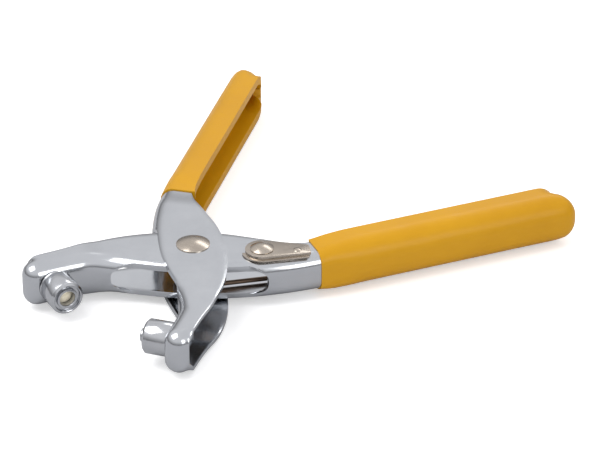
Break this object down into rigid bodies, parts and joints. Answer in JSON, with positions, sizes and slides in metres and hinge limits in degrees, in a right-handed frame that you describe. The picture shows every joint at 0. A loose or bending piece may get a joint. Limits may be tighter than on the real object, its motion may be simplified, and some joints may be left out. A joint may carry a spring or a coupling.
{
  "type": "snap setter pliers",
  "caption": "Hand pliers of folded sheet steel with a cup die and a pin die at the jaws, dipped grips, a return spring and a latch.",
  "frame": {"origin": "on the pivot axis, at the flat end of the pivot rivet's tail, which is the surface the pliers lie on", "axes": "+Z along the pivot axis, up out of the rivet's domed head; +X and +Y in the plane of the pliers, with the inner lever's handle 22.7 degrees from +X and the outer lever's handle 75.3 degrees from +X"},
  "size_m": [0.1652, 0.1675, 0.0174],
  "materials": {
    "plated_sheet": "bright plated sheet steel",
    "dipped_vinyl": "satin dipped vinyl",
    "nickel": "dull nickel plate",
    "bush_steel": "turned steel",
    "spring_wire": "oiled spring wire",
    "die_steel": "turned and plated steel",
    "die_pad": "cream nylon"
  },
  "bodies": {
    "inner": {"inner_lever": "plated_sheet", "inner_grip": "dipped_vinyl", "pivot_bush": "bush_steel", "return_spring": "spring_wire", "inner_die_body": "die_steel", "inner_die_ring": "die_steel", "inner_die_pad": "die_pad", "latch_rivet": "nickel", "latch_washer": "bush_steel"},
    "outer": {"outer_lever": "plated_sheet", "outer_grip": "dipped_vinyl", "pivot_rivet": "nickel", "outer_die_body": "die_steel", "outer_die_pin": "die_steel"},
    "latch": {"latch": "nickel"}
  },
  "joints": [
    {"name": "outer_hinge", "type": "hinge", "parent": "inner", "child": "outer", "pos_m": [0, 0, 0.0084], "axis": [0, 0, 1], "range_deg": [-44.4, 0], "stiffness_Nm_per_rad": 0.3, "springref_deg": 20.05, "deforming": ["return_spring"]},
    {"name": "latch_hinge", "type": "hinge", "parent": "inner", "child": "latch", "pos_m": [0.0203, -0.00267, 0.0155], "axis": [0, 0, 1], "range_deg": [0, 60]}
  ]
}
